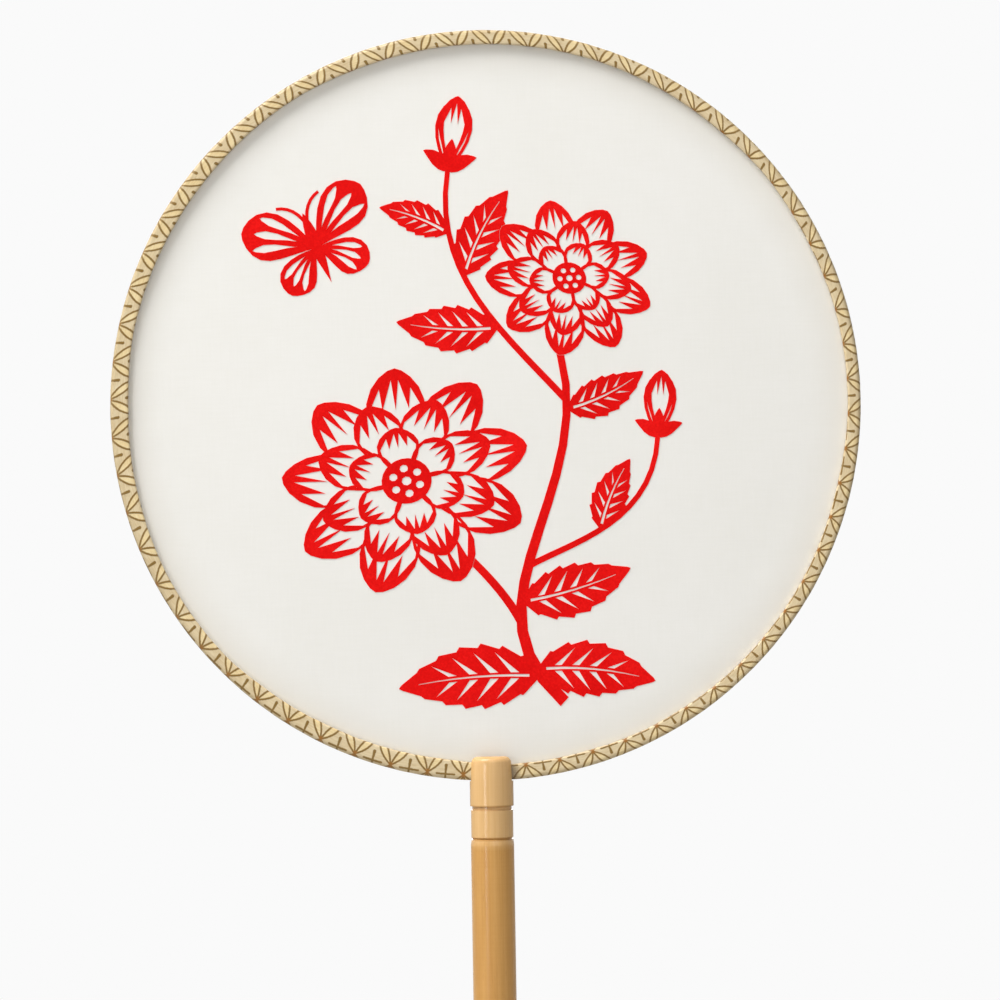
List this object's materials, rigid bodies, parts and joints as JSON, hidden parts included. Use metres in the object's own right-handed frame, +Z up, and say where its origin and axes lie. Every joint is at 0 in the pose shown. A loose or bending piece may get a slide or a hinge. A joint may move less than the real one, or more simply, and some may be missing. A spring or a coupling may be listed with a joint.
{
  "type": "round hand fan",
  "caption": "Round hand fan: a silk leaf between two bent bamboo hoops, edged with folded ribbon, on a turned and slotted wooden handle, with a red paper cutting glued to its front.",
  "frame": {"origin": "middle of the grip, on the axis of the handle", "axes": "+Z runs up the handle to the leaf, the front of the leaf faces -Y, and X lies in the plane of the leaf"},
  "size_m": [0.26, 0.0152, 0.3895],
  "materials": {
    "bamboo": "planed",
    "silk": "sized plain weave",
    "brocade": "woven ribbon with a gold lattice",
    "beech": "turned and satin varnished",
    "red_paper": "knife-cut"
  },
  "bodies": {
    "root": {"front_hoop": "bamboo", "back_hoop": "bamboo", "fan_face": "silk", "edge_ribbon": "brocade", "handle": "beech", "handle_peg": "bamboo", "papercut_branch": "red_paper", "papercut_large_flower": "red_paper", "papercut_small_flower": "red_paper", "papercut_butterfly": "red_paper"}
  },
  "joints": []
}
